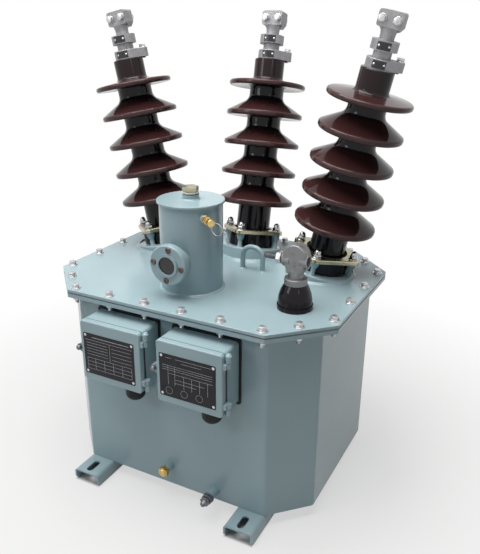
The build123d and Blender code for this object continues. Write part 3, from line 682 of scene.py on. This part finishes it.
# The clamp and its boss get a darker copy of the cast aluminium: painted shade and painted reflection of the
# dark bell behind them.
shaded_casting = clouded_finish(
    "shaded_casting",
    [(0.16, 0.16, 0.165), (0.22, 0.22, 0.225), (0.29, 0.29, 0.295)],
    patch=70.0, gloss=(0.46, 0.60), grain=620.0, depth=0.00035, metal=0.75, detail=5.0,
)
dress(shaded_casting, "cast_aluminium", "neutral_clamp")
eye_level = next(m for m in frame["record"]["mounts"] if m["name"] == "neutral_socket")["pos_m"][2]
leftward = Matrix.Rotation(-math.pi / 2, 4, "Y")
grip = Matrix.Translation((bell_middle.x, bell_middle.y, eye_level)) @ leftward
neutral_boss = bmesh.new()
set_in(neutral_boss, spun(boss_outline, 32), grip)
fit("neutral_boss", neutral_boss, shaded_casting, "tank")
neutral_seal = bmesh.new()
set_in(neutral_seal, spun(disc(neutral_seal_radius, neutral_seal_start, neutral_nut_start), 28), grip)
fit("neutral_seal", neutral_seal, rubber, "tank")
neutral_nut = bmesh.new()
set_in(neutral_nut, hexagon(neutral_nut_across, neutral_nut_start, neutral_nut_end, neutral_nut_edge), grip)
fit("neutral_nut", neutral_nut, bright_zinc, "tank")
dull_steel = clouded_finish(
    "dull_steel",
    [(0.11, 0.11, 0.12), (0.18, 0.18, 0.19), (0.26, 0.25, 0.26)],
    patch=160.0, gloss=(0.30, 0.46), grain=1200.0, depth=0.00006, metal=1.0,
)
neutral_thread = threaded(neutral_stud_radius, neutral_nut_end, neutral_stud_end, neutral_stud_pitch)
neutral_stud = bmesh.new()
set_in(neutral_stud, spun(neutral_thread, 20), grip)
fit("neutral_stud", neutral_stud, dull_steel, "tank")


# Lifting loops: round bar bent hot into a staple.
# Both legs are welded to the lid and sprayed with it.
loop_bar_radius = 0.0055
loop_throat = 0.0032
dress(enamel, "grey_green_paint", "lifting_loop_left", "lifting_loop_right")
loop_welds = bmesh.new()
for side in ("left", "right"):
    low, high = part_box(f"lifting_loop_{side}")
    for x in (low.x + loop_bar_radius, high.x - loop_bar_radius):
        spot = Matrix.Translation((x, (low.y + high.y) / 2, lid_top))
        set_in(loop_welds, weld(loop_bar_radius, loop_throat, 36), spot)
fit("loop_welds", loop_welds, enamel, "tank", crease=70.0)


# Terminal boxes: cast bodies on rubber seats, each with a hinged cover in the same enamel.
# A rubber cord in the seam seals the cover, with a lip on the hinge side, and the hinge pins
# are sprayed over with the box.
box_level = 0.340
plate_offset = 0.003
seam_back = -0.27845
cord_span_x = 0.137
cord_span_z = 0.125
cord_corner = 0.006
cord_width = 0.0028
cord_height = 0.0015
lip_size = (0.0010, 0.0034, 0.0705)
lip_side = 0.0702
lip_back = 0.0018
hinge_side = 0.076
pin_head_outline = [(0.0, -0.0002), (0.0040, -0.0002), (0.0040, 0.0012), (0.0026, 0.0023), (0.0, 0.0026)]
latch_side = 0.0795
latch_front = -0.2860
latch_outline = [
    (0.0, -0.0110), (0.0032, -0.0110), (0.0032, 0.0), (0.0064, 0.0), (0.0064, 0.0012), (0.0050, 0.0014),
    (0.0050, 0.0053), (0.0044, 0.0062), (0.0, 0.0062),
]
dress(enamel, "grey_green_paint", "box_body_left", "box_body_right", "box_cover_left", "box_cover_right")
dress(rubber, "black_rubber", "box_seats", "cable_glands")
dress(enamel, "plated_steel", "hinge_pins")

box_middles = {}
for side in ("left", "right"):
    low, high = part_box(f"nameplate_{side}")
    box_middles[side] = (low.x + high.x) / 2 + plate_offset
seals = bmesh.new()
for middle in box_middles.values():
    cord = bmesh.new()
    bmesh.ops.create_grid(cord, x_segments=1, y_segments=1, size=0.5)
    bmesh.ops.scale(cord, vec=(cord_span_x, cord_span_z, 1), verts=cord.verts)
    bmesh.ops.bevel(
        cord, geom=list(cord.verts), offset=cord_corner, affect="VERTICES",
        segments=6, profile=0.5, material=-1,
    )
    rim = bmesh.ops.inset_region(cord, faces=cord.faces, thickness=cord_width, depth=0.0)
    bmesh.ops.delete(cord, geom=[f for f in cord.faces if f not in set(rim["faces"])], context="FACES")
    raised = bmesh.ops.extrude_face_region(cord, geom=list(cord.faces))
    tops = [v for v in raised["geom"] if isinstance(v, bmesh.types.BMVert)]
    bmesh.ops.translate(cord, vec=(0, 0, cord_height), verts=tops)
    bmesh.ops.recalc_face_normals(cord, faces=cord.faces)
    set_in(seals, cord, Matrix.Translation((middle, seam_back, box_level)) @ forward)
    lip = bmesh.new()
    bmesh.ops.create_cube(lip, size=1.0)
    bmesh.ops.scale(lip, vec=lip_size, verts=lip.verts)
    set_in(seals, lip, Matrix.Translation((middle + lip_side, seam_back + lip_back, box_level)))
fit("cover_seals", seals, rubber, "tank")

pins_low, pins_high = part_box("hinge_pins")
pin_y = (pins_low.y + pins_high.y) / 2
pin_heads = bmesh.new()
for middle in box_middles.values():
    for level, turn in ((pins_low.z, math.pi), (pins_high.z, 0.0)):
        spot = Matrix.Translation((middle + hinge_side, pin_y, level)) @ Matrix.Rotation(turn, 4, "X")
        set_in(pin_heads, spun(pin_head_outline, 18), spot)
fit("hinge_pin_heads", pin_heads, enamel, "tank")

for side, middle in box_middles.items():
    screw = bmesh.new()
    spot = Matrix.Translation((middle - latch_side, latch_front, box_level))
    set_in(screw, spun(latch_outline), spot @ forward)
    fit(f"latch_screw_{side}", screw, dull_steel, f"cover_{side}")


# Rating plates: thin aluminium, etched black, with pale rules round empty fields.
# Four bright drive screws hold each one to its cover.
plate_thickness = 0.0005
plate_corner = 0.003
rule_width = 0.0006
rule_height = 0.00012
rule_sunk = 0.0005
ring_sunk = 0.00045
ring_inner = 0.0070
ring_outer = 0.0075
plate_screw_inset = 0.005
plate_screw_sunk = 0.0004
plate_screw_outline = [(0.0029, 0.0), (0.0029, 0.0001), (0.0022, 0.0004), (0.0011, 0.0006), (0.0, 0.0006)]
ring_outline = [(ring_inner, 0.0), (ring_outer, 0.0), (ring_outer, rule_height)]
ring_outline += [(ring_inner, rule_height), (ring_inner, 0.0)]
plate_black = clouded_finish(
    "etched_black",
    [(0.008, 0.008, 0.011), (0.016, 0.016, 0.021), (0.026, 0.026, 0.032)],
    patch=70.0, gloss=(0.30, 0.44), grain=1400.0, depth=0.00004, detail=5.0, shine=0.22,
)
etched_pale = clouded_finish(
    "etched_pale",
    [(0.26, 0.26, 0.28), (0.50, 0.50, 0.52)],
    patch=260.0, gloss=(0.40, 0.55), grain=1600.0, depth=0.00003, metal=0.4,
)

# Rules start and end at shares of a plate's width and height, and rings stand at such shares.
left_rules = [(0.18, 0.92, 0.90, 0.90), (0.04, 0.84, 0.96, 0.84), (0.52, 0.42, 0.52, 0.84)]
left_rules += [(0.06, z, 0.48, z) for z in (0.77, 0.70, 0.63, 0.56, 0.49)]
left_rules += [(0.56, z, 0.94, z) for z in (0.75, 0.66, 0.57, 0.48)]
left_rules += [(0.06, z, 0.94, z) for z in (0.40, 0.31, 0.22, 0.13)]
left_rules += [(x, 0.13, x, 0.40) for x in (0.06, 0.22, 0.40, 0.58, 0.76, 0.94)]
right_rules = [(0.12, 0.92, 0.22, 0.92), (0.30, 0.92, 0.92, 0.92), (0.40, 0.85, 0.74, 0.85)]
right_rules += [(0.06, z, 0.94, z) for z in (0.69, 0.64)]
right_rules += [(x, 0.30, x, 0.74) for x in (0.16, 0.28)]
right_rules += [(0.06, 0.74, 0.94, 0.74), (0.16, 0.56, 0.94, 0.56)]
right_rules += [(0.28, 0.44, 0.80, 0.44), (0.28, 0.36, 0.66, 0.36)]
right_rules += [(x, 0.26, x, 0.56) for x in (0.44, 0.58, 0.72, 0.86)]
right_rings = [(0.17, 0.15), (0.44, 0.15), (0.71, 0.15)]
plate_fields = {"left": (left_rules, []), "right": (right_rules, right_rings)}
for side, (rules, rings) in plate_fields.items():
    low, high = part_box(f"nameplate_{side}")
    middle = (low + high) / 2
    span = high - low
    plate = bmesh.new()
    bmesh.ops.create_cube(plate, size=1.0)
    bmesh.ops.scale(plate, vec=(span.x, plate_thickness, span.z), verts=plate.verts)
    edges = [e for e in plate.edges if abs(e.verts[0].co.y - e.verts[1].co.y) > 1e-5]
    bmesh.ops.bevel(
        plate, geom=edges, offset=plate_corner, affect="EDGES",
        segments=4, profile=0.5, material=-1,
    )
    bmesh.ops.translate(plate, vec=(middle.x, high.y - plate_thickness / 2, middle.z), verts=plate.verts)
    face = fit(f"rating_plate_{side}", plate, plate_black, f"cover_{side}")
    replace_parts(face, f"nameplate_{side}")
    fields = bmesh.new()
    for start_x, start_z, end_x, end_z in rules:
        rule = bmesh.new()
        bmesh.ops.create_cube(rule, size=1.0)
        length = span.x * (end_x - start_x) + rule_width
        height = span.z * (end_z - start_z) + rule_width
        bmesh.ops.scale(rule, vec=(length, rule_height, height), verts=rule.verts)
        across = low.x + span.x * (start_x + end_x) / 2
        level = low.z + span.z * (start_z + end_z) / 2
        set_in(fields, rule, Matrix.Translation((across, high.y - rule_sunk, level)))
    for ring_x, ring_z in rings:
        spot = Matrix.Translation((low.x + span.x * ring_x, high.y - ring_sunk, low.z + span.z * ring_z))
        set_in(fields, spun(ring_outline, 40), spot @ forward)
    fit(f"plate_rules_{side}", fields, etched_pale, f"cover_{side}")
    screws = bmesh.new()
    for x in (low.x + plate_screw_inset, high.x - plate_screw_inset):
        for z in (low.z + plate_screw_inset, high.z - plate_screw_inset):
            spot = Matrix.Translation((x, high.y - plate_screw_sunk, z))
            set_in(screws, spun(plate_screw_outline, 16), spot @ forward)
    fit(f"plate_screws_{side}", screws, bright_zinc, f"cover_{side}")


# Terminal boards: moulded brown phenolic inside the boxes, with two rows of brass studs,
# each with a washer and a nut for the secondary leads.
board_columns = (-0.040, -0.024, -0.008, 0.008, 0.024, 0.040)
board_rows = (-0.016, 0.016)
board_nut_across = 0.0080
board_nut_height = 0.0032
board_stud_end = 0.0108
moulding = clouded_finish(
    "moulded_phenolic",
    [(0.045, 0.028, 0.018), (0.062, 0.040, 0.026), (0.075, 0.050, 0.034)],
    patch=120.0, gloss=(0.30, 0.42), grain=800.0, depth=0.00006,
)
dress(moulding, "moulded_board", "terminal_boards")
board_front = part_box("terminal_boards")[0].y
board_studs = bmesh.new()
for middle in box_middles.values():
    for x in board_columns:
        for z in board_rows:
            spot = Matrix.Translation((middle + x, board_front, box_level + z)) @ forward
            nutted(board_studs, board_nut_across, board_nut_height, board_stud_end, spot)
fit("board_studs", board_studs, brass, "tank")


# Drain plug: a brass hexagon plug with a turned tip.
# It is screwed into a boss low on the tank's front, on a soft washer.
drain_washer_radius = 0.0098
drain_washer_end = 0.0018
drain_across = 0.020
drain_head_end = 0.0122
drain_edge = 0.0012
drain_tip_radius = 0.0075
drain_tip_end = 0.0150
drain_low, drain_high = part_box("drain_plug")
drain_middle = (drain_low + drain_high) / 2
drain = Matrix.Translation((drain_middle.x, drain_high.y, drain_middle.z)) @ forward
drain_plug = bmesh.new()
set_in(drain_plug, spun(disc(drain_washer_radius, 0.0, drain_washer_end), 28), drain)
set_in(drain_plug, hexagon(drain_across, drain_washer_end, drain_head_end, drain_edge), drain)
set_in(drain_plug, spun(disc(drain_tip_radius, drain_head_end, drain_tip_end), 28), drain)
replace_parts(fit("drain_plug_turned", drain_plug, brass, "tank"), "drain_plug")


# Earthing bolt: a steel stud in a welded boss, gone a little dull.
# A washer and two nuts are run up on it for the earthing strap.
earth_across = 0.019
earth_nut_height = 0.0062
earth_stud_end = 0.0178
earth_washer_radius = 0.0110
earth_washer_start = 0.0087
earth_washer_end = 0.0105
earth_nut_end = 0.0172
earth_nut_edge = 0.0010
earth_nut_turn = 0.4
earth_low, earth_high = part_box("earth_bolt")
earth_middle = (earth_low + earth_high) / 2
earth = Matrix.Translation((earth_middle.x, earth_high.y, earth_middle.z)) @ forward
earth_turned = earth @ Matrix.Rotation(earth_nut_turn, 4, "Z")
earth_bolt = bmesh.new()
nutted(earth_bolt, earth_across, earth_nut_height, earth_stud_end, earth)
set_in(earth_bolt, spun(disc(earth_washer_radius, earth_washer_start, earth_washer_end), 28), earth)
set_in(earth_bolt, hexagon(earth_across, earth_washer_end, earth_nut_end, earth_nut_edge), earth_turned)
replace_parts(fit("earth_stud", earth_bolt, dull_steel, "tank"), "earth_bolt")


# Studio: a pale floor that fades into a white room, which the camera, the metal and the
# glass see, one broad soft box overhead and two small ones in front.
# Under the feet the floor has none of the room's glow, a painted shade that keeps their slots dark.
floor_size = 14.0
foot_margin = 0.004
glow_edge = 0.006
glow_near = 0.40
glow_far = 1.05
glow_at_feet = 0.58
fill_strength = 0.13
floor_shape = bmesh.new()
bmesh.ops.create_grid(floor_shape, x_segments=1, y_segments=1, size=floor_size)
floor_mesh = bpy.data.meshes.new("studio_floor")
floor_shape.to_mesh(floor_mesh)
floor_shape.free()
floor = bpy.data.objects.new("studio_floor", floor_mesh)
bpy.context.scene.collection.objects.link(floor)


def white_where_seen(tree):
    """One where a ray from the camera, metal or glass looks, and zero where light is gathered."""
    rays = tree.nodes.new("ShaderNodeLightPath")
    value = rays.outputs["Is Camera Ray"]
    for kind in ("Is Glossy Ray", "Is Transmission Ray"):
        value = maths(tree, "MAXIMUM", value, rays.outputs[kind])
    return value


foot_low, foot_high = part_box("foot_right")
foot_middle = (foot_low.x + foot_high.x) / 2
foot_half = (foot_high.x - foot_low.x) / 2 - foot_margin
foot_reach = foot_high.y - foot_margin
pale, tree, shader, place = new_finish("pale_floor")
soft_grey = tinted(tree, cloud(tree, place, 0.8), (0.3, (0.54, 0.54, 0.54)), (0.7, (0.57, 0.57, 0.57)))
tree.links.new(soft_grey, shader.inputs["Base Color"])
shader.inputs["Roughness"].default_value = 0.9
shader.inputs["Specular IOR Level"].default_value = 0.1
distance = tree.nodes.new("ShaderNodeVectorMath")
distance.operation = "LENGTH"
tree.links.new(place, distance.inputs[0])
floor_place = tree.nodes.new("ShaderNodeSeparateXYZ")
tree.links.new(place, floor_place.inputs["Vector"])
from_middle = maths(tree, "ABSOLUTE", floor_place.outputs["X"], 0.0)
from_foot = maths(tree, "ABSOLUTE", maths(tree, "SUBTRACT", from_middle, foot_middle), 0.0)
from_side = maths(tree, "ABSOLUTE", floor_place.outputs["Y"], 0.0)
# Painted shade: beside and beyond are zero in strips under the feet, where the glow is taken away.
beside = ranged(tree, from_foot, foot_half, foot_half + glow_edge, 0.0, 1.0)
beyond = ranged(tree, from_side, foot_reach, foot_reach + glow_edge, 0.0, 1.0)
glow = ranged(tree, distance.outputs["Value"], glow_near, glow_far, glow_at_feet, 1.0)
glow_with_painted_foot_shade = maths(tree, "MULTIPLY", glow, maths(tree, "MAXIMUM", beside, beyond))
faded = maths(tree, "MULTIPLY", glow_with_painted_foot_shade, white_where_seen(tree))
white = tree.nodes.new("ShaderNodeEmission")
blended = tree.nodes.new("ShaderNodeMixShader")
tree.links.new(faded, blended.inputs["Fac"])
tree.links.new(shader.outputs["BSDF"], blended.inputs[1])
tree.links.new(white.outputs["Emission"], blended.inputs[2])
tree.links.new(blended.outputs["Shader"], tree.nodes["Material Output"].inputs["Surface"])
floor_mesh.materials.append(pale)

world = bpy.data.worlds.new("studio")
bpy.context.scene.world = world
world.use_nodes = True
sky = world.node_tree
shown = sky.nodes["Background"]
shown.inputs["Color"].default_value = (1, 1, 1, 1)
shown.inputs["Strength"].default_value = 1.0
fill = sky.nodes.new("ShaderNodeBackground")
fill.inputs["Color"].default_value = (0.87, 0.94, 1.0, 1)
fill.inputs["Strength"].default_value = fill_strength
both = sky.nodes.new("ShaderNodeMixShader")
sky.links.new(white_where_seen(sky), both.inputs["Fac"])
sky.links.new(fill.outputs["Background"], both.inputs[1])
sky.links.new(shown.outputs["Background"], both.inputs[2])
sky.links.new(both.outputs["Shader"], sky.nodes["World Output"].inputs["Surface"])


def soft_box(name, place, aim, width, height, watts, tint=(1.0, 1.0, 1.0)):
    """A rectangular soft box that looks at a point."""
    lamp = bpy.data.lights.new(name, "AREA")
    lamp.shape = "RECTANGLE"
    lamp.size = width
    lamp.size_y = height
    lamp.energy = watts
    lamp.color = tint
    box = bpy.data.objects.new(name, lamp)
    direction = Vector(aim) - Vector(place)
    box.matrix_world = Matrix.Translation(place) @ direction.to_track_quat("-Z", "Y").to_matrix().to_4x4()
    bpy.context.scene.collection.objects.link(box)


soft_box("overhead_box", (-0.25, -0.35, 2.7), (0.0, 0.0, 0.4), 2.0, 2.0, 89.0, (1.0, 0.97, 0.945))
soft_box("left_window", (-1.5, -2.2, 1.9), (0.0, 0.0, 0.5), 0.9, 1.1, 14.0, (0.95, 0.97, 1.0))
soft_box("right_window", (2.2, -1.7, 1.9), (0.0, 0.0, 0.5), 0.4, 0.6, 2.0)

camera_data = bpy.data.cameras.new("photo_camera")
camera_data.lens = 42.09
camera_data.sensor_width = 36.0
camera_roll = 0.393
camera = bpy.data.objects.new("photo_camera", camera_data)
stand = Vector((0.6419, -1.1597, 0.9415))
look = Vector((0.0, 0.0796, 0.3942)) - stand
camera.matrix_world = (
    Matrix.Translation(stand)
    @ look.to_track_quat("-Z", "Y").to_matrix().to_4x4()
    @ Matrix.Rotation(math.radians(camera_roll), 4, "Z")
)
bpy.context.scene.collection.objects.link(camera)
bpy.context.scene.camera = camera
bpy.context.scene.view_settings.view_transform = "Standard"
